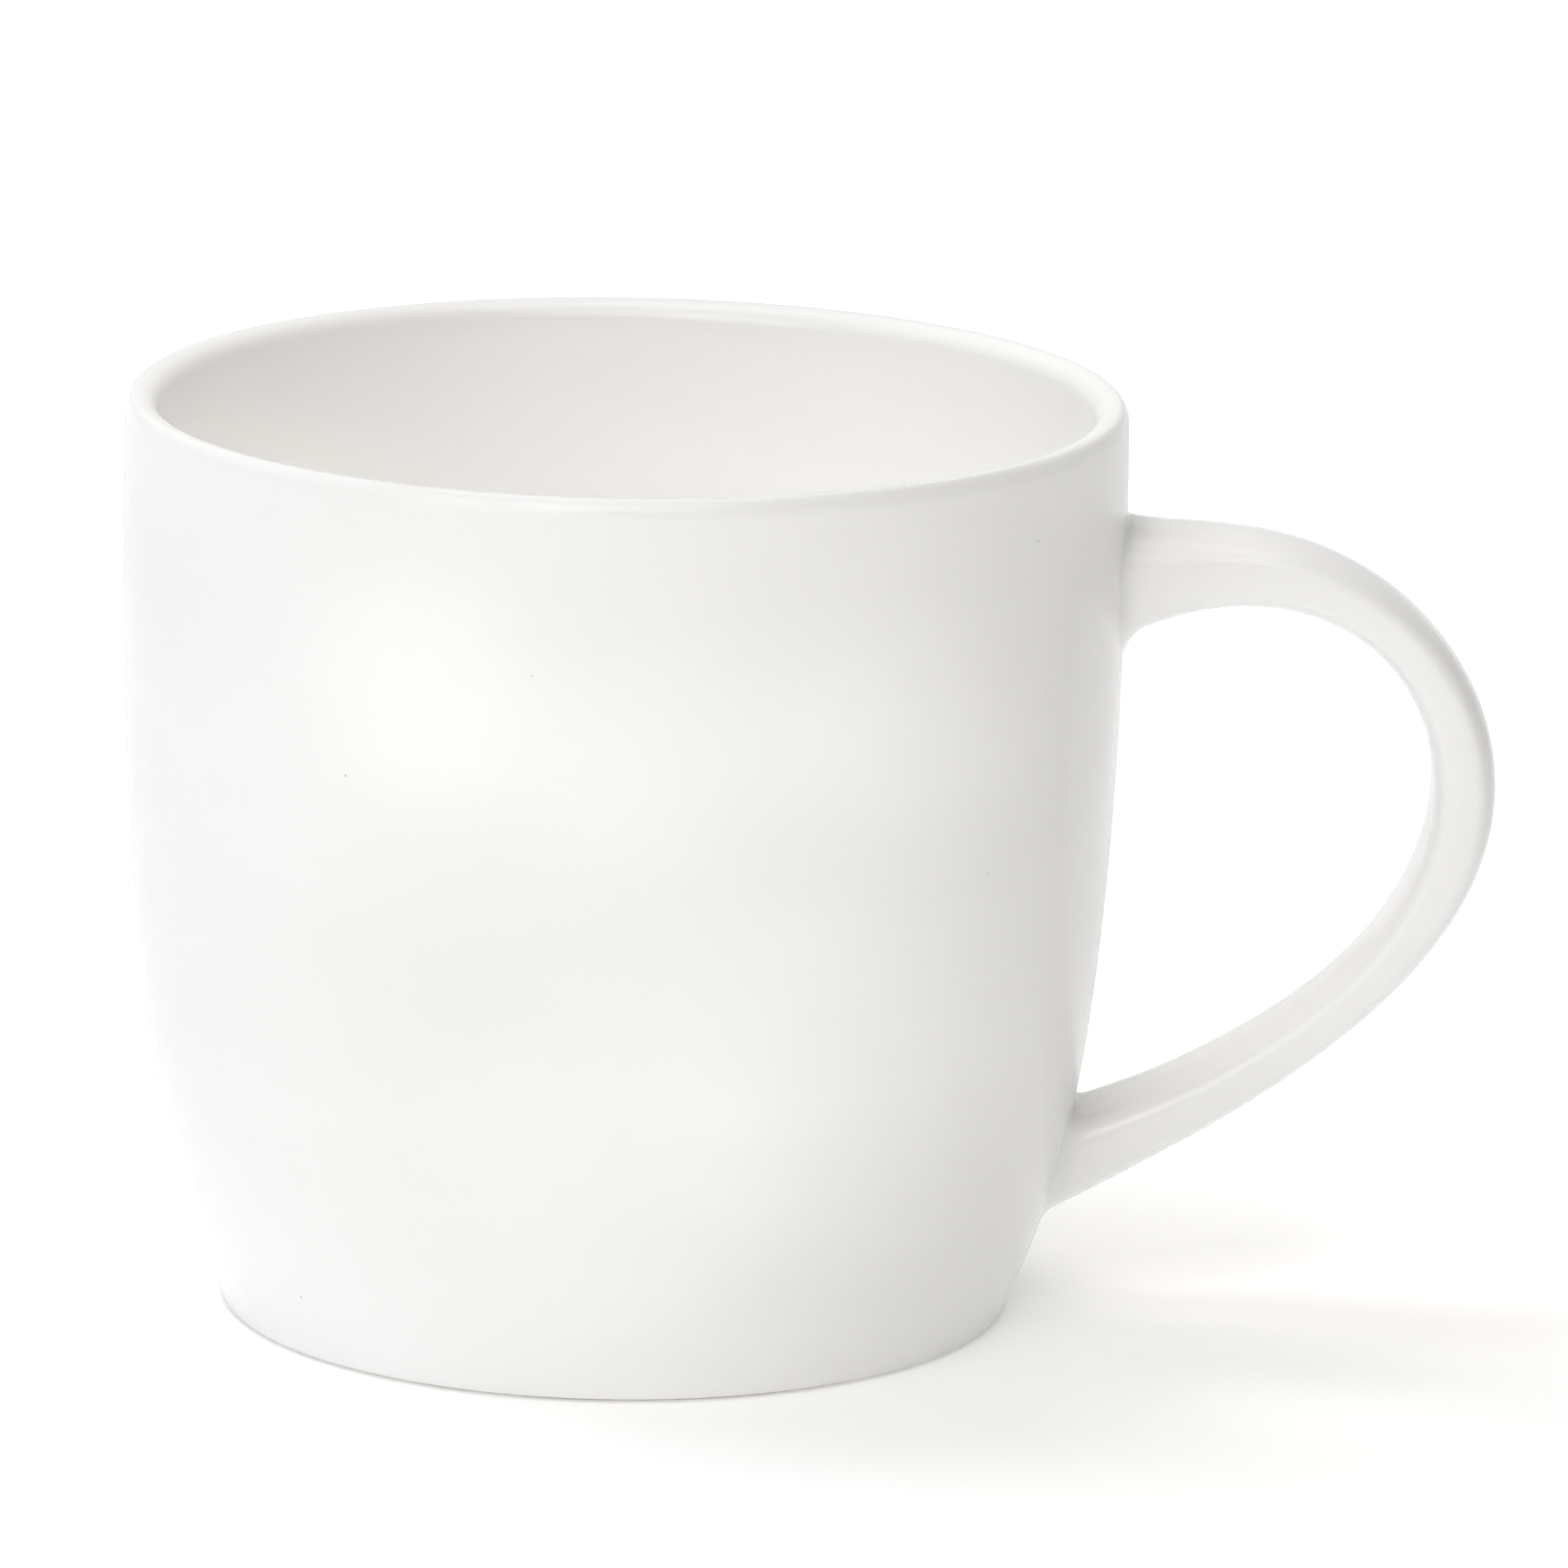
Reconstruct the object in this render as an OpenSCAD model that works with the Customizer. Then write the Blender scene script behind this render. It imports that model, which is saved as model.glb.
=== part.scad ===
// Glazed ceramic mug: a barrel-shaped cup with a cast strap handle luted on with two slip joints,
// and a coat of clear-white glaze on everything but the foot ring it stands on.
// The origin is the middle of the foot ring's resting face. +Z is up and +X points to the handle.

/* [Cup] */
// Height from the table to the top of the rim
cup_height = 83.5; // [70:0.1:100]
// Outside diameter at the rim
rim_d = 90; // [80:0.5:104]
// Outside diameter where the side meets the foot
foot_d = 71.1; // [62:0.1:76]
// Lean of the side where it leaves the foot, from upright
foot_lean = 17; // [8:1:24]
// How far up the side the lean at the foot is felt
foot_lead = 7.4; // [4:0.2:16]
// Lean of the side under the rim, inwards, from upright
rim_lean = 0.6; // [0:0.1:2]
// How far down the side the upright rim is felt
rim_lead = 67; // [50:1:69]
// Wall thickness under the rim, both glaze coats included
wall_t = 3; // [2.4:0.1:4]
// Wall thickness at the foot of the side, both glaze coats included
low_wall_t = 4; // [3:0.1:5]
// Width of the rim outside its crest
crest_out = 1; // [0.7:0.1:1.2]
// Height of the rounding on both sides of the crest
crest_h = 1.8; // [1.2:0.1:3]

/* [Floor and foot] */
// Height of the drinking floor above the table
floor_z = 6.4; // [5.4:0.1:9]
// Height at which the inside wall starts to turn into the floor
corner_z = 19; // [14:1:26]
// Radius of the flat middle of the drinking floor
floor_flat_r = 23; // [14:1:28]
// Width of the bare ring that the mug stands on, at its root
foot_ring_w = 4; // [3:0.2:6]
// Depth of the recess inside the foot ring, in the clay
recess_depth = 2.4; // [1.6:0.1:3]
// Rounding of the foot ring's two edges
foot_round = 0.25; // [0.1:0.05:0.25]

/* [Handle] */
// How far the handle stands out from the rim
handle_reach = 34.2; // [28:0.2:42]
// Width of the handle's strap at the grip, across the cup
grip_w = 11; // [8:0.5:14]
// Width of the handle's strap where it meets the cup
root_w = 13; // [10:0.5:16]
// Where the strap is widest, as a share of its half thickness away from the cup
ridge = 0.2; // [0:0.05:0.4]
// Squareness of the strap's outer side: 2 is an ellipse, more is boxier
outer_square = 2.5; // [2:0.1:4]
// Squareness of the strap's finger side
inner_square = 4.6; // [2:0.1:6]

/* [Joints and glaze] */
// Thickness of the slip between the handle and the cup
slip_t = 0.5; // [0.3:0.1:0.7]
// Radius of the slip's fillet on the strap's outer side
outer_fillet = 0.8; // [0.8:0.1:1.4]
// Radius of the slip's fillet on the strap's finger side
finger_fillet = 2.2; // [1.4:0.1:2.6]
// Thickness of the glaze
glaze_t = 0.3; // [0.2:0.05:0.4]
// Height of the bare band between the table and the glaze
bare_h = 0.3; // [0.3:0.05:1]

/* [Hidden] */

CLAY = "linen";
SLIP = "antiquewhite";
GLAZE = "white";
SIDE_STEPS = 26;
CREST_STEPS = 6;
CORNER_STEPS = 10;
EDGE_STEPS = 4;
STRAP_STEPS = 36;
RING_POINTS = 28;
FILLET_STEPS = 4;
FULL_TURN = 120;
// How far the bare ring stands in from the clay behind the glaze's edge
FOOT_STEP = 0.2;
// Width and height of the rounding where the recess meets the foot ring
RECESS_ROUND = [2.5, 0.9];
// Sizes of the shrunken rings that close a root as a cap which follows the wall
CAP_SHARES = [0.3, 0.65];
// Share of the strap's length over which its rings turn from the wall's curve to square
ROOT_BLEND = 0.09;
// Short share of the strap's length, for measuring how fast it leaves the wall
PROBE = 0.02;

rim_r = rim_d / 2;
foot_r = foot_d / 2;

// The handle's side view: the control points of its two edges, from the upper root to the lower,
// as [share of the reach beyond the rim, share of the cup's height].
OUTER_EDGE = [[0, 0.875], [0.275, 0.847], [0.636, 0.914], [1.037, 0.76],
              [1.332, 0.536], [1.04, 0.365], [-0.18, 0.102]];
FINGER_EDGE = [[0, 0.749], [0.288, 0.817], [0.609, 0.801], [0.847, 0.76],
               [1.071, 0.558], [0.882, 0.356], [-0.113, 0.213]];

// ---- Curves in the plane

// A Bezier curve of any degree, by repeated halving of its control points
function bezier(points, t) =
    len(points) == 1
    ? points[0]
    : bezier([for (i = [0:len(points) - 2]) points[i] * (1 - t) + points[i + 1] * t], t);

function bezier_run(points, steps, first = 0) =
    [for (i = [first:steps]) bezier(points, i / steps)];

// A quarter of an ellipse round a centre, from one angle to the next
function quarter(centre, size, from, to, steps) =
    [for (i = [1:steps])
        let (angle = from + (to - from) * i / steps)
        centre + [size[0] * cos(angle), size[1] * sin(angle)]];

function unit(v) = v / norm(v);

function tangent(points, i) =
    unit(points[min(i + 1, len(points) - 1)] - points[max(i - 1, 0)]);

// The curve moved to its left by a distance
function offset_curve(points, distance) =
    [for (i = [0:len(points) - 1])
        let (along = tangent(points, i))
        points[i] + distance * [-along[1], along[0]]];

function reversed(points) =
    [for (i = [len(points) - 1:-1:0]) points[i]];

// ---- The cup's outline, as [radius, height]

side_ends = [[foot_r, 0], [rim_r, cup_height - crest_h]];
side_control = [
    side_ends[0],
    side_ends[0] + foot_lead * [sin(foot_lean), cos(foot_lean)],
    side_ends[1] + rim_lead * [sin(rim_lean), -cos(rim_lean)],
    side_ends[1]
];
side = bezier_run(side_control, SIDE_STEPS);
side_table = [for (p = side) [p[1], p[0]]];

function side_radius(z) = lookup(z, side_table);

glazed_side = concat([[side_radius(bare_h), bare_h]], [for (p = side) if (p[1] > 2 * bare_h) p]);
crest_r = rim_r - crest_out;
crest = concat(
    quarter([crest_r, cup_height - crest_h], [crest_out, crest_h], 0, 90, CREST_STEPS),
    quarter([crest_r, cup_height - crest_h], [wall_t - crest_out, crest_h], 90, 180, CREST_STEPS)
);

function inner_radius(z) =
    side_radius(z) - wall_t - (low_wall_t - wall_t) * (1 - z / cup_height);

inner_side = [for (p = reversed(side)) if (p[1] > corner_z + 1 && p[1] < cup_height - crest_h - 1)
    [inner_radius(p[1]), p[1]]];
corner_top = [inner_radius(corner_z), corner_z];
corner_slope = (inner_radius(corner_z + 1) - inner_radius(corner_z - 1)) / 2;
corner_knee = [corner_top[0] - corner_slope * (corner_z - floor_z), floor_z];
corner = bezier_run([corner_top, corner_knee, [floor_flat_r, floor_z]], CORNER_STEPS);

// Everything that is glazed in one sweep: up the outside, over the rim and down to the floor's middle
outside_count = len(glazed_side) + CREST_STEPS;
glazed = concat(glazed_side, crest, inner_side, corner, [[0, floor_z]]);
clay = offset_curve(glazed, glaze_t);

// Height and radius of the bare clay side, which the handle's roots are fitted to
clay_table = [for (i = [0:outside_count - CREST_STEPS - 1]) [clay[i][1], clay[i][0]]];

function clay_radius(z) = lookup(z, clay_table);

// The underside, from the foot ring's inner face to the middle
ring_in_r = foot_r - foot_ring_w;
recess_knee = [ring_in_r, recess_depth];
underside = concat(
    [[ring_in_r, bare_h]],
    bezier_run(
        [recess_knee - [0, RECESS_ROUND[1]], recess_knee, recess_knee - [RECESS_ROUND[0], 0]],
        EDGE_STEPS
    ),
    [[0, recess_depth]]
);
underside_glazed = offset_curve(underside, glaze_t);
ring_out_r = clay[0][0] - FOOT_STEP;
foot_edges = concat(
    quarter([ring_in_r + foot_round, foot_round], [foot_round, foot_round], 180, 270, EDGE_STEPS),
    [[ring_out_r - foot_round, 0]],
    quarter([ring_out_r - foot_round, foot_round], [foot_round, foot_round], 270, 360, EDGE_STEPS)
);

// ---- The handle's rings

function edge_points(shares) =
    let (last = len(shares) - 1)
    [for (i = [0:last])
        let (z = shares[i][1] * cup_height)
        [i == 0 || i == last ? clay_radius(z) : rim_r + shares[i][0] * handle_reach, z]];

outer_edge = edge_points(OUTER_EDGE);
finger_edge = edge_points(FINGER_EDGE);
middle_line = (outer_edge + finger_edge) / 2;

// How far out from the wall's clay the strap's middle line is
function stand_off(t) =
    let (middle = bezier(middle_line, t), root = bezier(middle_line, t < 0.5 ? 0 : 1))
    (middle[0] - clay_radius(middle[1])) - (root[0] - clay_radius(root[1]));

// Share of the strap's length at which it stands a given distance out from the wall, at each root
function root_share(upper, distance) =
    let (step = distance / stand_off(upper ? PROBE : 1 - PROBE) * PROBE)
    upper ? step : 1 - step;

function signed_power(value, power) = sign(value) * pow(abs(value), power);

// Half width of the strap along its length, wider at both roots
function half_width(t) =
    (grip_w + (root_w - grip_w) * pow(abs(2 * t - 1), 4)) / 2;

// One point of the strap's rounded section: [along its thickness, along its width], each -1 to 1
function section_point(angle) =
    let (square = cos(angle) > 0 ? outer_square : inner_square)
    let (depth = cos(angle) > 0 ? 1 - ridge : 1 + ridge)
    [ridge + depth * signed_power(cos(angle), 2 / square), signed_power(sin(angle), 2 / square)];

// Radius of the slip's fillet at a point of the section
function slip_radius(angle) =
    outer_fillet + (finger_fillet - outer_fillet) * (1 - section_point(angle)[0]) / 2;

// Weight of the wall's curve in a ring: 1 at a root, 0 along the free strap
function root_weight(t) =
    let (free = min(1, min(t, 1 - t) / ROOT_BLEND))
    1 - free * free * (3 - 2 * free);

// One point of the strap's surface at a share of its length: grown by a distance,
// scaled towards the strap's middle, and lifted off the wall
function strap_point(t, angle, grow, scale = 1, lift = 0) =
    let (outer = bezier(outer_edge, t), finger = bezier(finger_edge, t))
    let (s = section_point(angle))
    let (half_t = scale * (norm(outer - finger) / 2 + grow), half_w = scale * (half_width(t) + grow))
    let (flat = (outer + finger) / 2 + half_t * s[0] * unit(outer - finger), y = half_w * s[1])
    let (wall_r = clay_radius(flat[1]) + stand_off(t) + lift, weight = root_weight(t))
    [flat[0] * (1 - weight) + sqrt(wall_r * wall_r - y * y) * weight, y, flat[1]];

ANGLES = [for (i = [0:RING_POINTS - 1]) 360 * i / RING_POINTS];

function ring(t, grow, scale = 1) =
    [for (angle = ANGLES) strap_point(t, angle, grow, scale)];

// The outline of the slip on the wall's clay
function wall_ring(upper, scale = 1) =
    [for (angle = ANGLES) strap_point(upper ? 0 : 1, angle, slip_radius(angle) - glaze_t, scale)];

// Rings of the fillet from the wall to the strap: the slip's surface, or that of a cover over it
function fillet_rings(upper, cover) =
    [for (i = [0:FILLET_STEPS])
        let (turn = 90 * i / FILLET_STEPS)
        [for (angle = ANGLES)
            let (radius = slip_radius(angle))
            strap_point(
                root_share(upper, radius * (1 - cos(turn))),
                angle,
                cover - glaze_t + (radius - cover) * (1 - sin(turn)),
                lift = cover * cos(turn)
            )]];

strap_from = root_share(true, finger_fillet);
strap_to = root_share(false, finger_fillet);

// Rings along the free strap, between the two fillets
function strap_rings(skin) =
    [for (i = [1:STRAP_STEPS - 1]) ring(strap_from + (strap_to - strap_from) * i / STRAP_STEPS, skin)];

// The strap's clay from its end, against the slip, to where the fillet ends
function end_rings(upper) =
    let (t = root_share(upper, slip_t))
    concat(
        [for (share = CAP_SHARES) ring(t, -glaze_t, share)],
        [ring(t, -glaze_t), fillet_rings(upper, 0)[FILLET_STEPS]]
    );

// A solid through rings of equal length. An open one is capped at both ends;
// a looped one joins its last ring to its first.
module skin_rings(rings, looped = false) {
    count = len(rings);
    size = len(rings[0]);
    top = (count - 1) * size;
    bands = looped ? count : count - 1;
    walls = [for (j = [0:bands - 1], i = [0:size - 1])
        let (a = j * size, b = ((j + 1) % count) * size, next = (i + 1) % size)
        each [[a + i, b + next, b + i], [a + i, a + next, b + next]]];
    caps = looped
        ? []
        : [for (i = [1:size - 2]) each [[0, i + 1, i], [top, top + i, top + i + 1]]];
    polyhedron(points = [for (r = rings) each r], faces = concat(walls, caps), convexity = 6);
}

// ---- Parts

module turned(points) {
    rotate_extrude($fn = FULL_TURN)
        polygon(points);
}

// The cup's clay: side, rim, floor and foot ring in one casting
module cup_body() {
    color(CLAY)
        turned(concat(clay, reversed(underside), foot_edges));
}

// The strap's clay, from one slip joint to the other
module handle() {
    color(CLAY)
        skin_rings(concat(end_rings(true), strap_rings(-glaze_t), reversed(end_rings(false))));
}

// The slip at one root: a thin layer under the strap's end and a fillet squeezed out round it
module slip_joint(upper) {
    against_strap = end_rings(upper);
    rings = concat(
        [for (share = CAP_SHARES) wall_ring(upper, share)],
        fillet_rings(upper, 0),
        reversed([for (i = [0:len(CAP_SHARES)]) against_strap[i]])
    );
    color(SLIP)
        skin_rings(upper ? rings : reversed(rings));
}

module upper_slip_joint() {
    slip_joint(true);
}

module lower_slip_joint() {
    slip_joint(false);
}

// The place of a root, run out along X through the cup's side
module root_window(upper) {
    rotate([90, 0, 90])
        linear_extrude(height = rim_d)
            polygon([for (p = wall_ring(upper)) [p[1], p[2]]]);
}

module outside_glaze() {
    skin = concat(
        [for (i = [0:outside_count - 1]) glazed[i]],
        [for (i = [outside_count - 1:-1:0]) clay[i]]
    );
    color(GLAZE)
        difference() {
            turned(skin);
            root_window(true);
            root_window(false);
        }
}

module inside_glaze() {
    last = len(glazed) - 1;
    color(GLAZE)
        turned(concat(
            [for (i = [outside_count - 1:last]) glazed[i]],
            [for (i = [last:-1:outside_count - 1]) clay[i]]
        ));
}

// The glaze over the strap and both fillets, open where it meets the glaze on the side
module handle_glaze() {
    over = concat(fillet_rings(true, glaze_t), strap_rings(0), reversed(fillet_rings(false, glaze_t)));
    under = concat(fillet_rings(true, 0), strap_rings(-glaze_t), reversed(fillet_rings(false, 0)));
    color(GLAZE)
        skin_rings(concat(over, reversed(under)), looped = true);
}

module underside_glaze() {
    color(GLAZE)
        turned(concat(underside, reversed(underside_glazed)));
}

cup_body();
handle();
upper_slip_joint();
lower_slip_joint();
outside_glaze();
inside_glaze();
handle_glaze();
underside_glaze();
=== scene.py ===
"""A white glazed ceramic mug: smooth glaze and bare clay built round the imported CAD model."""

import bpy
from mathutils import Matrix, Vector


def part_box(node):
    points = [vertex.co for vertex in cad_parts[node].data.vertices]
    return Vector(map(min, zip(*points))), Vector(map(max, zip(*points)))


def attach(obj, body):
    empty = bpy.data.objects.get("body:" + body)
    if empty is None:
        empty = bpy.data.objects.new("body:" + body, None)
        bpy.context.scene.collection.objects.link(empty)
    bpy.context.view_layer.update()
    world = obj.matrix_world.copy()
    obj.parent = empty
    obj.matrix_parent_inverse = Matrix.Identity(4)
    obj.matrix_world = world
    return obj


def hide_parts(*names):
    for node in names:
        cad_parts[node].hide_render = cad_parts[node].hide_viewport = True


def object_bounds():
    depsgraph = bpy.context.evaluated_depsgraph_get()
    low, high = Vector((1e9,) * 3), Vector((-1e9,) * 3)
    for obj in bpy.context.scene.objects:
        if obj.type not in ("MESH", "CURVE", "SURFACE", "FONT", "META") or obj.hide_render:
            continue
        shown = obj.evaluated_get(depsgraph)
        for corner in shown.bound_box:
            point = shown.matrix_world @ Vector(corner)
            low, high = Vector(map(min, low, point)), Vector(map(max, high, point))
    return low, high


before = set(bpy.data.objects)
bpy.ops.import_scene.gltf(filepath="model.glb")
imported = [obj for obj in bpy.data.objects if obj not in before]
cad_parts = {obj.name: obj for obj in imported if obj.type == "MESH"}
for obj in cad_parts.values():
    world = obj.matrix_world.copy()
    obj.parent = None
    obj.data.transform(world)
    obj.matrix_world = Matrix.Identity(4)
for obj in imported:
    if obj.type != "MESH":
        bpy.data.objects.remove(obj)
cad_box = [list(corner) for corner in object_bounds()]

import math

import bpy
import numpy as np
from mathutils import Matrix, Vector

# ---- Camera: 1.1 m away, 14 degrees above the table, with a long lens

CAMERA_DISTANCE = 1.1
CAMERA_ELEVATION = math.radians(13.92)
CAMERA_ROLL = math.radians(1.04)
# Lens and sensor in millimetres, the clipping distances in metres
CAMERA_LENS = 279.5
CAMERA_SENSOR = 36
CAMERA_CLIP = (0.01, 30)
# What the middle of the view falls on, as shares of the whole mug's box from its low corner
AIM_SHARE = Vector((0.482, 0.5, 0.5725))


def add_camera(low, high):
    """A camera in front of the mug (on the -Y side) that looks slightly down at it."""
    middle_z = (low.z + high.z) / 2
    place = Vector((
        0,
        -CAMERA_DISTANCE * math.cos(CAMERA_ELEVATION),
        middle_z + CAMERA_DISTANCE * math.sin(CAMERA_ELEVATION),
    ))
    size = high - low
    aim = Vector([low[i] + AIM_SHARE[i] * size[i] for i in range(3)])
    forward = (aim - place).normalized()
    right = forward.cross(Vector((0, 0, 1))).normalized()
    up = right.cross(forward)
    turned_right = right * math.cos(CAMERA_ROLL) + up * math.sin(CAMERA_ROLL)
    turned_up = turned_right.cross(forward)
    axes = Matrix((turned_right, turned_up, -forward)).transposed().to_4x4()
    camera = bpy.data.objects.new("camera", bpy.data.cameras.new("camera"))
    camera.matrix_world = Matrix.Translation(place) @ axes
    camera.data.lens = CAMERA_LENS
    camera.data.sensor_width = CAMERA_SENSOR
    camera.data.clip_start, camera.data.clip_end = CAMERA_CLIP
    bpy.context.collection.objects.link(camera)
    bpy.context.scene.camera = camera


low_corner, high_corner = (Vector(corner) for corner in cad_box)
add_camera(low_corner, high_corner)

# ---- Sizes, in metres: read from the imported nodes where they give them

outside_low, outside_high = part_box("outside_glaze")
inside_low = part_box("inside_glaze")[0]
clay_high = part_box("cup_body")[1]
underside_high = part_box("underside_glaze")[1]

CUP_HEIGHT = outside_high.z
GLAZE = CUP_HEIGHT - clay_high.z
BARE_HEIGHT = outside_low.z
FLOOR_Z = inside_low.z + GLAZE
RECESS_DEPTH = underside_high.z
RING_IN_RADIUS = underside_high.y

RIM_RADIUS = 0.045
FOOT_RADIUS = 0.03555
# The side is one curve: how far it leans outwards at each end, and how long it keeps that direction
FOOT_LEAN = math.radians(17)
FOOT_LEAD = 0.0074
RIM_LEAN = math.radians(0.6)
RIM_LEAD = 0.067
# The wall's thickness at the rim and at the foot
WALL = 0.003
LOW_WALL = 0.004
# The rim's rounding: its width on the outside, and its height
CREST_OUT = 0.001
CREST_HEIGHT = 0.0018
# Where the inside leaves the wall, and where it reaches the flat floor
CORNER_Z = 0.019
FLOOR_FLAT_RADIUS = 0.023
# The foot ring's rounded edges, its step in from the clay above, and the rounding inside the recess
FOOT_ROUND = 0.00025
FOOT_STEP = 0.0002
RECESS_ROUND = (0.0025, 0.0009)
# How far up and down the slopes of the inside and of the side are measured
INSIDE_SLOPE_REACH = 0.001
SIDE_SLOPE_REACH = 0.0005

# The handle: its reach past the rim, its half widths, and roughly its half thickness at the grip. Its
# section's ridge lies outwards of the middle by a share of the half thickness, and the sections on both
# sides of that ridge are as square as given here (2 is round).
HANDLE_REACH = 0.0342
GRIP_HALF_WIDTH = 0.0055
ROOT_HALF_WIDTH = 0.0065
GRIP_HALF_THICKNESS = 0.0026
RIDGE = 0.2
OUTER_SQUARE = 2.5
INNER_SQUARE = 4.6
# The slip's fillet on the strap's outer side and on its finger side
OUTER_FILLET = 0.0008
FINGER_FILLET = 0.0022
# Shares of the strap's length: where its ends follow the round wall, and where the stand-off is measured
ROOT_BLEND = 0.09
PROBE = 0.02
# The handle's two edges in side view, as Bezier control points: (share of the reach beyond the rim, share
# of the cup's height). Their end points are moved onto the wall.
OUTER_EDGE = [(0, 0.875), (0.275, 0.847), (0.636, 0.914), (1.037, 0.76),
              (1.332, 0.536), (1.04, 0.365), (-0.18, 0.102)]
FINGER_EDGE = [(0, 0.749), (0.288, 0.817), (0.609, 0.801), (0.847, 0.76),
               (1.071, 0.558), (0.882, 0.356), (-0.113, 0.213)]

# Steps of the meshes, and of two finer curves that points are read from
TURN_STEPS = 384
SIDE_STEPS = 110
CREST_STEPS = 16
INNER_STEPS = 80
CORNER_STEPS = 32
FLOOR_STEPS = 8
EDGE_STEPS = 10
FOOT_STEPS = 4
STRAP_STEPS = 170
RING_POINTS = 88
FILLET_STEPS = 14
FINE_SIDE_STEPS = 440
FINE_SECTION_STEPS = 4000


# ---- Curves

def bezier(points, t):
    """A point of a Bezier curve of any degree."""
    points = [np.asarray(p, float) for p in points]
    while len(points) > 1:
        points = [a * (1 - t) + b * t for a, b in zip(points, points[1:])]
    return points[0]


def bezier_run(points, steps):
    return [bezier(points, i / steps) for i in range(steps + 1)]


def quarter(centre, size, start, end, steps):
    """A quarter of an ellipse round a centre, without its first point."""
    angles = [math.radians(start + (end - start) * i / steps) for i in range(1, steps + 1)]
    return [np.array((centre[0] + size[0] * math.cos(a), centre[1] + size[1] * math.sin(a)))
            for a in angles]


def left_normals(points):
    """The unit normal on the left of a curve, at each of its points."""
    last = len(points) - 1
    normals = []
    for i in range(last + 1):
        along = points[min(i + 1, last)] - points[max(i - 1, 0)]
        along = along / np.linalg.norm(along)
        normals.append(np.array((-along[1], along[0])))
    return normals


def offset_curve(points, distance):
    return [p + distance * n for p, n in zip(points, left_normals(points))]


# ---- The cup's outline, as (radius, height)

side_top = np.array((RIM_RADIUS, CUP_HEIGHT - CREST_HEIGHT))
side_foot = np.array((FOOT_RADIUS, 0.0))
side_control = [
    side_foot,
    side_foot + FOOT_LEAD * np.array((math.sin(FOOT_LEAN), math.cos(FOOT_LEAN))),
    side_top + RIM_LEAD * np.array((math.sin(RIM_LEAN), -math.cos(RIM_LEAN))),
    side_top,
]
side = bezier_run(side_control, FINE_SIDE_STEPS)
side_heights = [p[1] for p in side]
side_radii = [p[0] for p in side]


def side_radius(z):
    return float(np.interp(z, side_heights, side_radii))


def inner_radius(z):
    return side_radius(z) - WALL - (LOW_WALL - WALL) * (1 - z / CUP_HEIGHT)


def slope_at(radius_at, z, reach):
    """How fast a radius grows with height, measured from a reach below to a reach above."""
    return (radius_at(z + reach) - radius_at(z - reach)) / (2 * reach)


def spaced(start, end, steps):
    """Values from start up to, but without, end."""
    return [start + (end - start) * i / steps for i in range(steps)]


def glazed_outline():
    """The glazed surface in one sweep: up the outside, over the rim, down to the floor's middle."""
    outside = [np.array((side_radius(z), z))
               for z in spaced(BARE_HEIGHT, side_top[1], SIDE_STEPS)] + [side_top]
    crest_centre = (RIM_RADIUS - CREST_OUT, side_top[1])
    outer_crest = quarter(crest_centre, (CREST_OUT, CREST_HEIGHT), 0, 90, CREST_STEPS)
    inner_crest = quarter(crest_centre, (WALL - CREST_OUT, CREST_HEIGHT), 90, 180, CREST_STEPS)
    inner = [np.array((inner_radius(z), z))
             for z in spaced(side_top[1], CORNER_Z, INNER_STEPS)[1:]]
    corner_top = np.array((inner_radius(CORNER_Z), CORNER_Z))
    slope = slope_at(inner_radius, CORNER_Z, INSIDE_SLOPE_REACH)
    knee = np.array((corner_top[0] - slope * (CORNER_Z - FLOOR_Z), FLOOR_Z))
    flat = np.array((FLOOR_FLAT_RADIUS, FLOOR_Z))
    corner = bezier_run([corner_top, knee, flat], CORNER_STEPS)
    floor = [np.array((r, FLOOR_Z)) for r in spaced(FLOOR_FLAT_RADIUS, 0, FLOOR_STEPS)[1:]]
    points = outside + outer_crest + inner_crest + inner + corner + floor
    return points + [np.array((0.0, FLOOR_Z))], len(outside) + len(outer_crest) - 1


glazed, crest_index = glazed_outline()
glazed_out = [-n for n in left_normals(glazed)]
clay = offset_curve(glazed, GLAZE)
clay_side = clay[:crest_index - CREST_STEPS + 1]
clay_heights = [p[1] for p in clay_side]
clay_radii = [p[0] for p in clay_side]


def clay_radius(z):
    return float(np.interp(z, clay_heights, clay_radii))


# ---- Meshes

def add_mesh(name, points, faces, normals):
    """A smooth mesh object with a given normal at each vertex."""
    mesh = bpy.data.meshes.new(name)
    mesh.from_pydata(points, [], faces)
    mesh.validate()
    mesh.shade_smooth()
    mesh.normals_split_custom_set_from_vertices(normals)
    piece = bpy.data.objects.new(name, mesh)
    bpy.context.collection.objects.link(piece)
    return piece


def band_faces(count, size, looped):
    """Quads between rings of equal length."""
    bands = count if looped else count - 1
    faces = []
    for j in range(bands):
        a = j * size
        b = ((j + 1) % count) * size
        for i in range(size):
            k = (i + 1) % size
            faces.append((a + i, b + i, b + k, a + k))
    return faces


AXIS_RADIUS = 1e-7


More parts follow.
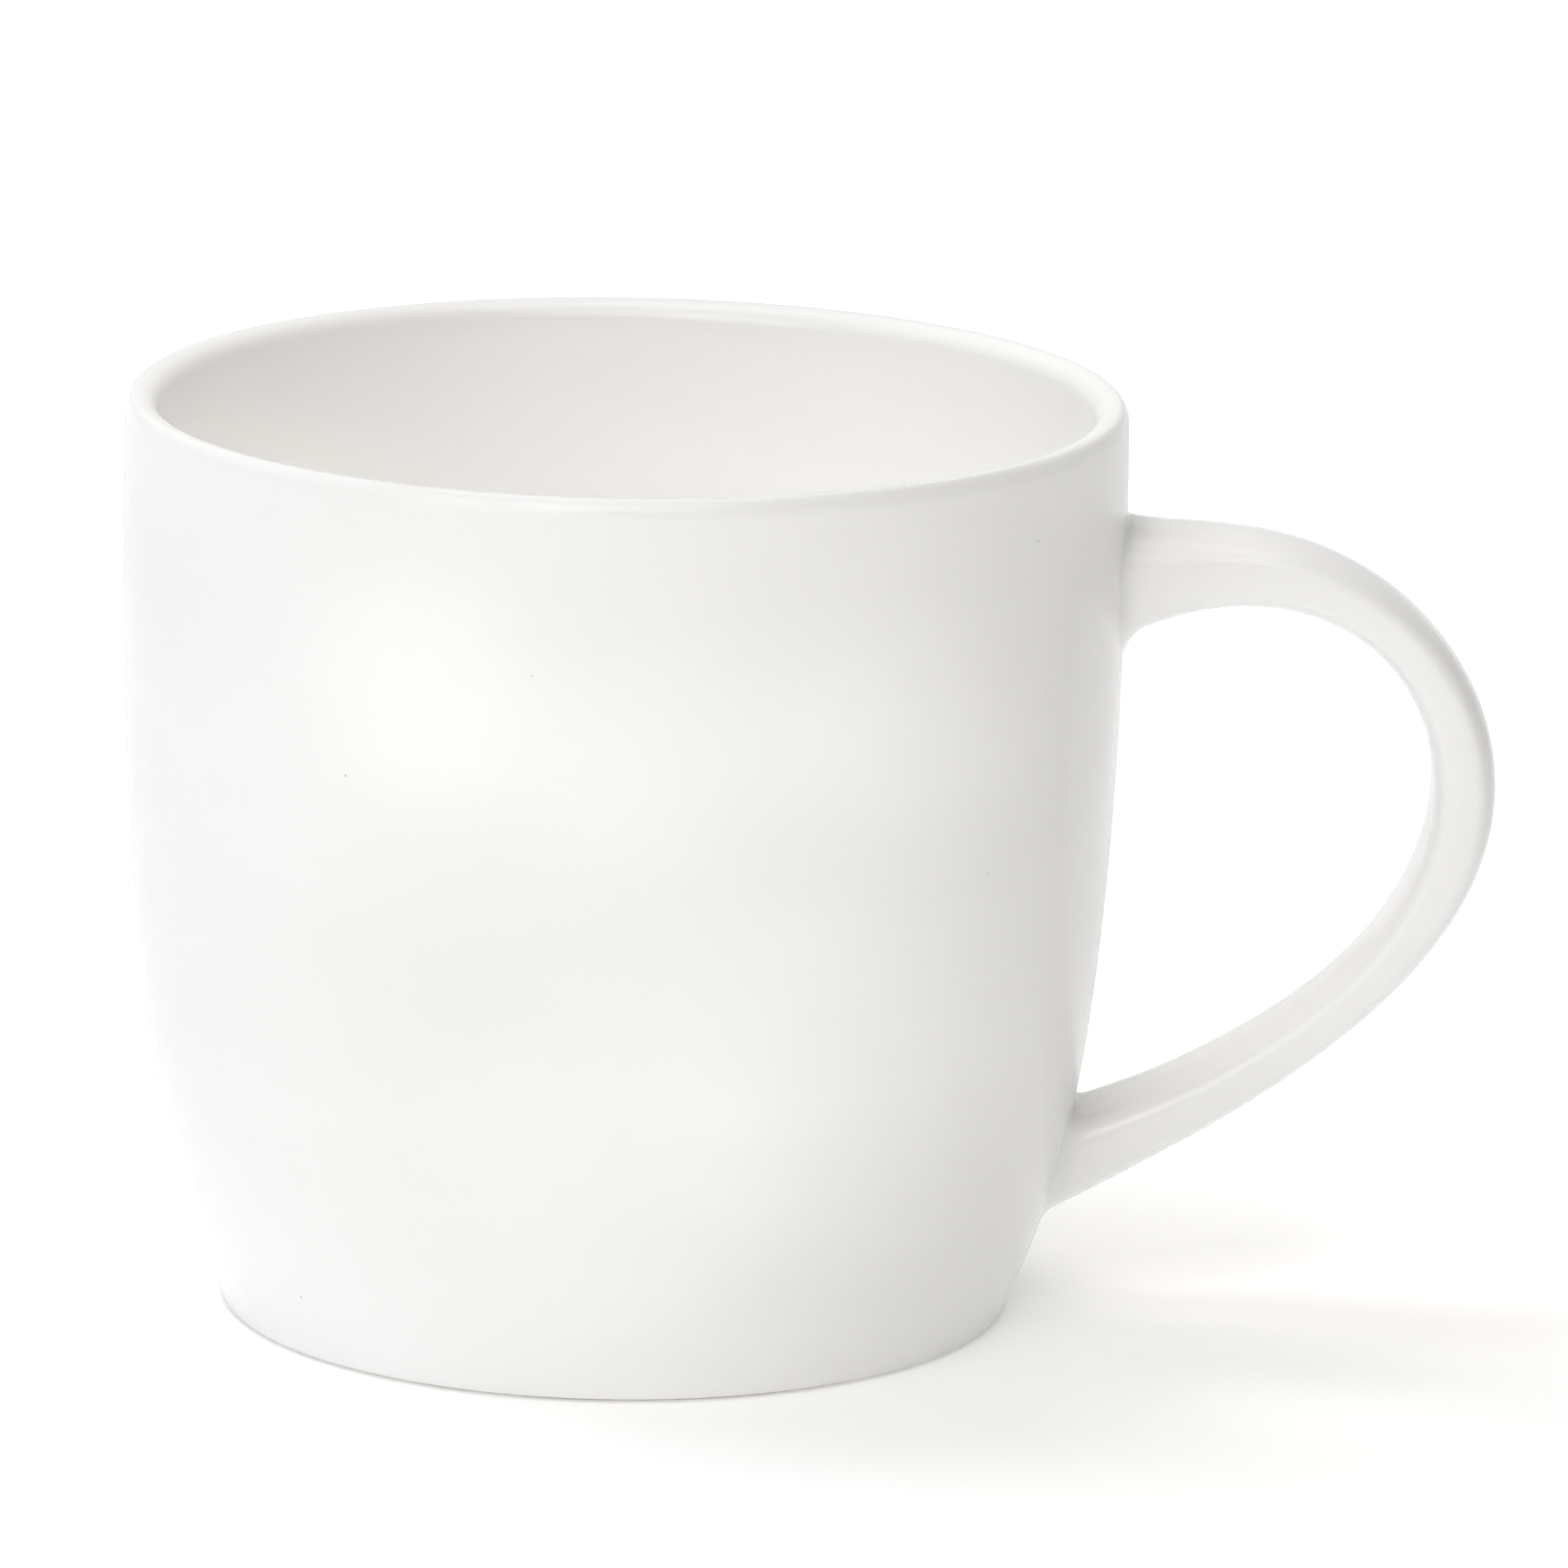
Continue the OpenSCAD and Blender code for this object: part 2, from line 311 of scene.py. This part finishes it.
def lathe(name, outline, normals):
    """A closed outline of (radius, height) points turned round the Z axis.
    A point on the axis becomes one vertex with a fan of triangles round it."""
    points, directions, starts = [], [], []
    for (r, z), (nr, nz) in zip(outline, normals):
        starts.append((len(points), r > AXIS_RADIUS))
        steps = TURN_STEPS if r > AXIS_RADIUS else 1
        for k in range(steps):
            angle = 2 * math.pi * k / steps
            points.append((r * math.cos(angle), r * math.sin(angle), z))
            directions.append((nr * math.cos(angle), nr * math.sin(angle), nz))
    faces = []
    for j in range(len(outline)):
        (a, a_ring), (b, b_ring) = starts[j], starts[(j + 1) % len(outline)]
        if not a_ring and not b_ring:
            continue
        for k in range(TURN_STEPS):
            n = (k + 1) % TURN_STEPS
            if not a_ring:
                faces.append((a, b + n, b + k))
            elif not b_ring:
                faces.append((a + k, a + n, b))
            else:
                faces.append((a + k, a + n, b + n, b + k))
    return add_mesh(name, points, faces, directions)


def shell(name, surface, normals, backing):
    """A turned skin: a surface curve with its normals, closed along a backing curve.
    The backing runs the same way as the surface and is never seen."""
    inward = [-n for n in normals]
    return lathe(name, list(surface) + list(backing)[::-1], list(normals) + inward[::-1])


# ---- The handle's rings

def edge_points(shares):
    points = []
    for i, (across, up) in enumerate(shares):
        z = up * CUP_HEIGHT
        at_root = i in (0, len(shares) - 1)
        x = clay_radius(z) if at_root else RIM_RADIUS + across * HANDLE_REACH
        points.append(np.array((x, z)))
    return points


outer_edge = edge_points(OUTER_EDGE)
finger_edge = edge_points(FINGER_EDGE)
middle_line = [(a + b) / 2 for a, b in zip(outer_edge, finger_edge)]


def stand_off(t):
    """How far the strap's middle line has moved off the wall's clay since the nearer root."""
    middle = bezier(middle_line, t)
    root = middle_line[0] if t < 0.5 else middle_line[-1]
    return (middle[0] - clay_radius(middle[1])) - (root[0] - clay_radius(root[1]))


def root_share(upper, distance):
    """The share of the strap's length at which it is about a distance off the wall, near one root."""
    step = distance / stand_off(PROBE if upper else 1 - PROBE) * PROBE
    return step if upper else 1 - step


def signed_power(value, power):
    return math.copysign(abs(value) ** power, value)


def half_width(t):
    return GRIP_HALF_WIDTH + (ROOT_HALF_WIDTH - GRIP_HALF_WIDTH) * abs(2 * t - 1) ** 4


def section_point(angle):
    """A point of the strap's section: outwards from its middle, and across, each from -1 to 1."""
    square, depth = (OUTER_SQUARE, 1 - RIDGE) if math.cos(angle) > 0 else (INNER_SQUARE, 1 + RIDGE)
    return (RIDGE + depth * signed_power(math.cos(angle), 2 / square),
            signed_power(math.sin(angle), 2 / square))


def even_angles():
    """Section angles that space the ring's points evenly round a strap of the grip's proportions."""
    fine = [2 * math.pi * i / FINE_SECTION_STEPS for i in range(FINE_SECTION_STEPS + 1)]
    thick, wide = GRIP_HALF_THICKNESS, GRIP_HALF_WIDTH
    places = [section_point(a) for a in fine]
    lengths = [0.0]
    for (a0, b0), (a1, b1) in zip(places, places[1:]):
        lengths.append(lengths[-1] + math.hypot((a1 - a0) * thick, (b1 - b0) * wide))
    wanted = [lengths[-1] * i / RING_POINTS for i in range(RING_POINTS)]
    return [float(np.interp(w, lengths, fine)) for w in wanted]


SECTION = [section_point(angle) for angle in even_angles()]


def slip_radius(across):
    """Radius of the slip's fillet at a section point, from its place along the thickness."""
    return OUTER_FILLET + (FINGER_FILLET - OUTER_FILLET) * (1 - across) / 2


def strap_point(t, section, grow, lift=0.0):
    """A point of the strap's surface at a share of its length, grown and lifted off the wall."""
    outer = bezier(outer_edge, t)
    finger = bezier(finger_edge, t)
    thickness = np.linalg.norm(outer - finger)
    a, b = section
    x, z = (outer + finger) / 2 + (thickness / 2 + grow) * a * (outer - finger) / thickness
    y = (half_width(t) + grow) * b
    free = min(1.0, min(t, 1 - t) / ROOT_BLEND)
    weight = 1 - free * free * (3 - 2 * free)
    on_wall = math.sqrt((clay_radius(z) + stand_off(t) + lift) ** 2 - y * y)
    return (x * (1 - weight) + on_wall * weight, y, z)


def ring(t, grow):
    return [strap_point(t, section, grow) for section in SECTION]


def fillet_rings(upper, cover):
    """Rings of the fillet from the wall to the strap: the slip's surface, or a cover over it."""
    rings = []
    for i in range(FILLET_STEPS + 1):
        turn = math.pi / 2 * i / FILLET_STEPS
        points = []
        for section in SECTION:
            radius = slip_radius(section[0])
            points.append(strap_point(
                root_share(upper, radius * (1 - math.cos(turn))),
                section,
                cover - GLAZE + (radius - cover) * (1 - math.sin(turn)),
                cover * math.cos(turn),
            ))
        rings.append(points)
    return rings


strap_from = root_share(True, FINGER_FILLET)
strap_to = root_share(False, FINGER_FILLET)


def strap_rings(grow):
    return [ring(strap_from + (strap_to - strap_from) * i / STRAP_STEPS, grow)
            for i in range(1, STRAP_STEPS)]


def wall_normal(point):
    """The side's outward normal at a point on it."""
    x, y, z = point
    slope = slope_at(side_radius, z, SIDE_SLOPE_REACH)
    normal = Vector((x, y, -slope * math.hypot(x, y)))
    return normal.normalized()


def skin(name, rings, wall_rings=()):
    """A closed skin through a loop of rings. The rings named in wall_rings take the wall's normals."""
    size = len(rings[0])
    points = [p for r in rings for p in r]
    faces = band_faces(len(rings), size, looped=True)
    mesh = bpy.data.meshes.new(name + "_normals")
    mesh.from_pydata(points, [], faces)
    normals = [v.normal.copy() for v in mesh.vertices]
    bpy.data.meshes.remove(mesh)
    for j in wall_rings:
        for i in range(size):
            normals[j * size + i] = wall_normal(points[j * size + i])
    return add_mesh(name, points, faces, normals)


# ---- Materials

def new_material(name):
    material = bpy.data.materials.new(name)
    material.use_nodes = True
    return material, material.node_tree.nodes, material.node_tree.links


def add_noise(nodes, links, place, scale, detail, stretch=(1, 1, 1)):
    """A noise in the object's own metres, finer along an axis where its stretch is larger."""
    mapping = nodes.new("ShaderNodeMapping")
    mapping.inputs["Scale"].default_value = stretch
    links.new(place.outputs["Object"], mapping.inputs["Vector"])
    noise = nodes.new("ShaderNodeTexNoise")
    noise.inputs["Scale"].default_value = scale
    noise.inputs["Detail"].default_value = detail
    links.new(mapping.outputs["Vector"], noise.inputs["Vector"])
    return noise.outputs["Fac"]


def add_ramp(nodes, links, value, low, high, low_colour, high_colour):
    ramp = nodes.new("ShaderNodeValToRGB")
    first, last = ramp.color_ramp.elements
    first.position, last.position = low, high
    first.color, last.color = (*low_colour, 1), (*high_colour, 1)
    links.new(value, ramp.inputs["Fac"])
    return ramp.outputs["Color"]


def add_range(nodes, links, value, from_low, from_high, to_low, to_high):
    mapped = nodes.new("ShaderNodeMapRange")
    mapped.inputs["From Min"].default_value = from_low
    mapped.inputs["From Max"].default_value = from_high
    mapped.inputs["To Min"].default_value = to_low
    mapped.inputs["To Max"].default_value = to_high
    links.new(value, mapped.inputs["Value"])
    return mapped.outputs["Result"]


def add_maths(nodes, links, operation, a, b):
    node = nodes.new("ShaderNodeMath")
    node.operation = operation
    links.new(a, node.inputs[0])
    if isinstance(b, (int, float)):
        node.inputs[1].default_value = b
    else:
        links.new(b, node.inputs[1])
    return node.outputs["Value"]


def add_mix(nodes, links, share, a, b):
    """One colour over another by a share: the lower, a, is linked and the upper, b, is a plain colour."""
    mix = nodes.new("ShaderNodeMix")
    mix.data_type = "RGBA"
    links.new(share, mix.inputs["Factor"])
    links.new(a, mix.inputs["A"])
    mix.inputs["B"].default_value = (*b, 1)
    return mix.outputs["Result"]


def add_bump(nodes, links, shader, height, strength, distance):
    bump = nodes.new("ShaderNodeBump")
    bump.inputs["Strength"].default_value = strength
    bump.inputs["Distance"].default_value = distance
    links.new(height, bump.inputs["Height"])
    links.new(bump.outputs["Normal"], shader.inputs["Normal"])


# Each SCALE counts a pattern's waves or cells a metre. Each FROM holds the two values of the pattern
# that take the first and the second of its tones, or of the roughnesses.
BAND_SCALE = 14
BAND_STRETCH = (1, 1, 2.6)
BAND_FROM = (0.32, 0.68)
BAND_TONES = ((0.925, 0.922, 0.915), (0.965, 0.962, 0.956))
GLAZE_IOR = 1.5
GLOSS_SCALE = 90
GLOSS_FROM = (0.3, 0.7)
GLAZE_ROUGHNESS = (0.15, 0.25)
PEEL_SCALE = 320
PEEL_STRENGTH = 0.06
PEEL_DEPTH = 0.0004
# Radii of a speck's core and of its edge, in cells, and the share of the cells that have one
SPECK_SCALE = 250
SPECK_CORE = 0.014
SPECK_EDGE = 0.035
SPECK_SHARE = 0.12
SPECK_COLOUR = (0.45, 0.42, 0.38)


def add_specks(nodes, links, place):
    """1 on a few tiny specks, which are some of the cells' middles, and 0 elsewhere."""
    cells = nodes.new("ShaderNodeTexVoronoi")
    cells.inputs["Scale"].default_value = SPECK_SCALE
    links.new(place.outputs["Object"], cells.inputs["Vector"])
    middle = add_range(nodes, links, cells.outputs["Distance"], SPECK_CORE, SPECK_EDGE, 1, 0)
    chance = nodes.new("ShaderNodeSeparateColor")
    links.new(cells.outputs["Color"], chance.inputs["Color"])
    chosen = add_maths(nodes, links, "LESS_THAN", chance.outputs["Red"], SPECK_SHARE)
    return add_maths(nodes, links, "MULTIPLY", middle, chosen)


def white_glaze():
    """Glossy white glaze: soft uneven bands of tone, a faint orange-peel skin and a few tiny specks."""
    material, nodes, links = new_material("white_glaze")
    shader = nodes["Principled BSDF"]
    shader.inputs["IOR"].default_value = GLAZE_IOR
    place = nodes.new("ShaderNodeTexCoord")

    bands = add_noise(nodes, links, place, BAND_SCALE, detail=3, stretch=BAND_STRETCH)
    tone = add_ramp(nodes, links, bands, *BAND_FROM, *BAND_TONES)
    specks = add_specks(nodes, links, place)
    links.new(add_mix(nodes, links, specks, tone, SPECK_COLOUR), shader.inputs["Base Color"])

    gloss = add_noise(nodes, links, place, GLOSS_SCALE, detail=2)
    roughness = add_range(nodes, links, gloss, *GLOSS_FROM, *GLAZE_ROUGHNESS)
    links.new(roughness, shader.inputs["Roughness"])

    peel = add_noise(nodes, links, place, PEEL_SCALE, detail=1)
    height = add_maths(nodes, links, "SUBTRACT", peel, specks)
    add_bump(nodes, links, shader, height, PEEL_STRENGTH, PEEL_DEPTH)
    return material


GRAIN_SCALE = 1400
GRAIN_FROM = (0.3, 0.6)
GRAIN_TONES = ((0.66, 0.62, 0.55), (0.8, 0.77, 0.71))
GRAIN_STRENGTH = 0.3
GRAIN_DEPTH = 0.0001
CLAY_ROUGHNESS = (0.7, 0.9)
# Scuffs reach their full share of grey at the table, and end at their height above it
SCUFF_SCALE = 160
SCUFF_FROM = (0.42, 0.6)
SCUFF_HEIGHT = 0.00015
SCUFF_SHARE = 0.75
SCUFF_COLOUR = (0.42, 0.41, 0.39)


def bare_clay():
    """Fired clay with no glaze: matt and fine-grained, scuffed grey in patches where it stands."""
    material, nodes, links = new_material("bare_clay")
    shader = nodes["Principled BSDF"]
    place = nodes.new("ShaderNodeTexCoord")
    grain = add_noise(nodes, links, place, GRAIN_SCALE, detail=4)
    colour = add_ramp(nodes, links, grain, *GRAIN_FROM, *GRAIN_TONES)

    height = nodes.new("ShaderNodeSeparateXYZ")
    links.new(place.outputs["Object"], height.inputs["Vector"])
    low = add_range(nodes, links, height.outputs["Z"], 0, SCUFF_HEIGHT, SCUFF_SHARE, 0)
    blots = add_noise(nodes, links, place, SCUFF_SCALE, detail=5)
    patches = add_range(nodes, links, blots, *SCUFF_FROM, 0, 1)
    scuffs = add_maths(nodes, links, "MULTIPLY", low, patches)
    links.new(add_mix(nodes, links, scuffs, colour, SCUFF_COLOUR), shader.inputs["Base Color"])

    roughness = add_range(nodes, links, grain, 0, 1, *CLAY_ROUGHNESS)
    links.new(roughness, shader.inputs["Roughness"])
    add_bump(nodes, links, shader, grain, GRAIN_STRENGTH, GRAIN_DEPTH)
    return material


FLOOR_WHITE = 0.9
FLOOR_ROUGHNESS = 0.9
# The glow near the mug and far out, and the distances between which it rises
FLOOR_GLOW = 0.3
FAR_GLOW = 1.0
GLOW_RISE = (0.35, 2.2)


def white_floor():
    """White paper that glows faintly, and more far out, so it fades evenly into the white round it."""
    material, nodes, links = new_material("white_floor")
    shader = nodes["Principled BSDF"]
    shader.inputs["Base Color"].default_value = (FLOOR_WHITE, FLOOR_WHITE, FLOOR_WHITE, 1)
    shader.inputs["Roughness"].default_value = FLOOR_ROUGHNESS
    shader.inputs["Emission Color"].default_value = (1, 1, 1, 1)
    place = nodes.new("ShaderNodeTexCoord")
    distance = nodes.new("ShaderNodeVectorMath")
    distance.operation = "LENGTH"
    links.new(place.outputs["Object"], distance.inputs[0])
    glow = add_range(nodes, links, distance.outputs["Value"], *GLOW_RISE, FLOOR_GLOW, FAR_GLOW)
    glow.node.interpolation_type = "SMOOTHSTEP"
    links.new(glow, shader.inputs["Emission Strength"])
    return material


glaze_material = white_glaze()
clay_material = bare_clay()


def finish_piece(piece, material, slot, *nodes):
    piece.data.materials.append(material)
    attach(piece, "root")
    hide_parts(*nodes)


# ---- Pieces

def underside_outline():
    """The clay under the floor, from the foot ring's inner face to the middle."""
    knee = np.array((RING_IN_RADIUS, RECESS_DEPTH))
    run, rise = RECESS_ROUND
    rounded = bezier_run([knee - (0, rise), knee, knee - (run, 0)], EDGE_STEPS)
    flat = [np.array((r, RECESS_DEPTH)) for r in spaced(RING_IN_RADIUS - run, 0, FLOOR_STEPS)[1:]]
    return [np.array((RING_IN_RADIUS, BARE_HEIGHT))] + rounded + flat + [np.array((0.0, RECESS_DEPTH))]


def foot_outline():
    """The foot ring's bare clay, from its inner face round to its outer face."""
    inner = RING_IN_RADIUS + FOOT_ROUND
    outer = clay[0][0] - FOOT_STEP - FOOT_ROUND
    size = (FOOT_ROUND, FOOT_ROUND)
    return (quarter((inner, FOOT_ROUND), size, 180, 270, EDGE_STEPS)
            + [np.array((r, 0.0)) for r in spaced(inner, outer, FOOT_STEPS)[1:]] + [np.array((outer, 0.0))]
            + quarter((outer, FOOT_ROUND), size, 270, 360, EDGE_STEPS))


underside = underside_outline()
base = underside[::-1] + foot_outline()
outline_normals = [-n for n in left_normals(clay)] + [-n for n in left_normals(base)]
cup_body = lathe("cup_clay", list(clay) + base, outline_normals)
finish_piece(cup_body, clay_material, "biscuit_clay", "cup_body")

outside_part = slice(0, crest_index + 1)
outside_glaze = shell("outside_coat", glazed[outside_part], glazed_out[outside_part], clay[outside_part])
finish_piece(outside_glaze, glaze_material, "white_glaze", "outside_glaze")

inside_part = slice(crest_index, len(glazed))
inside_glaze = shell("inside_coat", glazed[inside_part], glazed_out[inside_part], clay[inside_part])
finish_piece(inside_glaze, glaze_material, "white_glaze", "inside_glaze")

underside_coat = offset_curve(underside, GLAZE)
underside_glaze = shell("underside_coat", underside_coat[::-1],
                        [-n for n in left_normals(underside_coat[::-1])], underside[::-1])
finish_piece(underside_glaze, glaze_material, "white_glaze", "underside_glaze")

over = fillet_rings(True, GLAZE) + strap_rings(0) + fillet_rings(False, GLAZE)[::-1]
under = fillet_rings(True, 0) + strap_rings(-GLAZE) + fillet_rings(False, 0)[::-1]
handle_glaze = skin("handle_coat", over + under[::-1], wall_rings=(0, len(over) - 1))
finish_piece(handle_glaze, glaze_material, "white_glaze", "handle_glaze")

for node in ("handle", "upper_slip_joint", "lower_slip_joint"):
    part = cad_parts[node]
    part.data.materials.clear()
    part.data.materials.append(clay_material)


# ---- Stage and light

FLOOR_RADIUS = 4.0
FLOOR_RINGS = 8
FLOOR_SIDES = 96


def add_floor():
    """A round white floor, flat and far wider than the view."""
    points = [(0.0, 0.0, 0.0)]
    faces = []
    for j in range(FLOOR_RINGS):
        radius = FLOOR_RADIUS * (j + 1) / FLOOR_RINGS
        for k in range(FLOOR_SIDES):
            angle = 2 * math.pi * k / FLOOR_SIDES
            points.append((radius * math.cos(angle), radius * math.sin(angle), 0.0))
            a, b = 1 + k, 1 + (k + 1) % FLOOR_SIDES
            if j == 0:
                faces.append((0, a, b))
            else:
                inner, outer = (j - 1) * FLOOR_SIDES, j * FLOOR_SIDES
                faces.append((inner + a, outer + a, outer + b, inner + b))
    mesh = bpy.data.meshes.new("floor")
    mesh.from_pydata(points, [], faces)
    floor = bpy.data.objects.new("floor", mesh)
    bpy.context.collection.objects.link(floor)
    floor.data.materials.append(white_floor())


LIGHT_DISTANCE = 1.6
LARGE_LIGHT = 1.2
SMALL_LIGHT = 0.5
SPOT_RADIUS = 0.005
BLURRED_SPOT_RADIUS = 0.02


def place_light(name, data, target, direction, power, colour, mirrored):
    """Puts a light in a direction (azimuth from +X, elevation) from its target, and aims it there.
    Only a mirrored one shows as a highlight in the glaze."""
    azimuth, elevation = (math.radians(v) for v in direction)
    away = Vector((math.cos(elevation) * math.cos(azimuth),
                   math.cos(elevation) * math.sin(azimuth),
                   math.sin(elevation)))
    data.energy = power
    data.color = colour
    light = bpy.data.objects.new(name, data)
    light.matrix_world = (Matrix.Translation(Vector(target) + away * LIGHT_DISTANCE)
                          @ away.to_track_quat("Z", "Y").to_matrix().to_4x4())
    light.visible_glossy = mirrored
    bpy.context.collection.objects.link(light)


def add_light(name, direction, size, power, colour=(1, 1, 1)):
    """A soft square light, aimed at the cup's middle. Only a large one is mirrored."""
    data = bpy.data.lights.new(name, "AREA")
    data.shape = "SQUARE"
    data.size = size
    place_light(name, data, (0, 0, CUP_HEIGHT / 2), direction, power, colour, size == LARGE_LIGHT)


def add_spot(name, target, direction, spread, power, colour=(1, 1, 1), radius=SPOT_RADIUS):
    """A narrow spot that fades towards its edge. The spread is the radius that it lights at its target.
    A larger radius of its own blurs it further."""
    data = bpy.data.lights.new(name, "SPOT")
    data.shadow_soft_size = radius
    data.spot_size = 2 * math.atan(spread / LIGHT_DISTANCE)
    data.spot_blend = 1
    place_light(name, data, target, direction, power, colour, False)


WORLD_LIGHT = 0.02
WORLD_MIRRORED = 0.8


def add_world():
    """White to look at and nearly white in reflections, but almost dark as a source of light."""
    world = bpy.data.worlds.new("studio")
    world.use_nodes = True
    nodes, links = world.node_tree.nodes, world.node_tree.links
    background = nodes["Background"]
    background.inputs["Color"].default_value = (1, 1, 1, 1)
    ray = nodes.new("ShaderNodeLightPath")
    mirrored = add_maths(nodes, links, "MULTIPLY", ray.outputs["Is Glossy Ray"], WORLD_MIRRORED)
    seen = add_maths(nodes, links, "ADD", mirrored, ray.outputs["Is Camera Ray"])
    strength = add_range(nodes, links, seen, 0, 1, WORLD_LIGHT, 1)
    links.new(strength, background.inputs["Strength"])
    bpy.context.scene.world = world


add_world()
add_floor()

# Lights: name, direction, size, power in watts, colour
add_light("top", (0, 90), LARGE_LIGHT, 5.4, (1, 0.984, 0.95))
add_light("front", (270, 40), LARGE_LIGHT, 6.4, (1, 0.964, 0.898))
add_light("front_left", (240, 25), LARGE_LIGHT, 6.4, (0.946, 0.965, 1))
add_light("left", (180, 40), LARGE_LIGHT, 2, (0.9, 0.94, 1))
add_light("back_left", (165, 55), SMALL_LIGHT, 3.8, (0.939, 0.953, 1))
add_light("high_back_left", (130, 75), SMALL_LIGHT, 2.7, (0.96, 0.97, 1))
add_light("back", (110, 45), SMALL_LIGHT, 4.1, (1, 0.96, 0.933))
add_light("back_right", (90, 45), SMALL_LIGHT, 1.9, (1, 0.96, 0.9))
add_light("high_back", (90, 75), SMALL_LIGHT, 1.7, (1, 0.985, 0.95))

# Spots: name, target, direction, spread, power in watts, colour
WARM = (1, 0.975, 0.92)
mouth = (0, 0, CUP_HEIGHT)
mouth_spread = RIM_RADIUS - WALL / 2
lower_arm = (0.06, 0, 0.03)
add_spot("into_mouth_high", mouth, (0, 70), mouth_spread, 86, WARM)
add_spot("into_mouth_low", mouth, (0, 50), mouth_spread, 34, WARM)
add_spot("onto_lower_arm", lower_arm, (300, 60), 0.04, 3.5, WARM, BLURRED_SPOT_RADIUS)


def on_side(across, up):
    """A point of the side that faces the camera."""
    return (across, -math.sqrt(side_radius(up) ** 2 - across ** 2), up)


# Faint bright bands across the side, one near its upper third and one low down, with a wide glow between
# them and one above them
BAND_HEIGHT = 0.0613
BAND_SPREAD = 0.014
add_spot("patch_on_side", on_side(-0.0176, 0.0655), (250, 8), BAND_SPREAD, 8)
add_spot("band_left", on_side(-0.0085, BAND_HEIGHT), (265, 8), BAND_SPREAD, 2)
add_spot("band_middle", on_side(0.003, BAND_HEIGHT), (265, 8), BAND_SPREAD, 3.5)
add_spot("band_right", on_side(0.024, BAND_HEIGHT), (265, 8), BAND_SPREAD, 7.5)
add_spot("glow_right", on_side(0.015, 0.045), (268, 8), 0.03, 3.8, (0.93, 0.96, 1))
add_spot("low_band_left", on_side(0, 0.024), (268, 8), 0.02, 5)
add_spot("low_band_right", on_side(0.019, 0.031), (268, 8), 0.021, 7)
add_spot("high_glow", on_side(0.004, 0.074), (268, 12), 0.03, 2.5)
bpy.context.scene.view_settings.view_transform = "Standard"
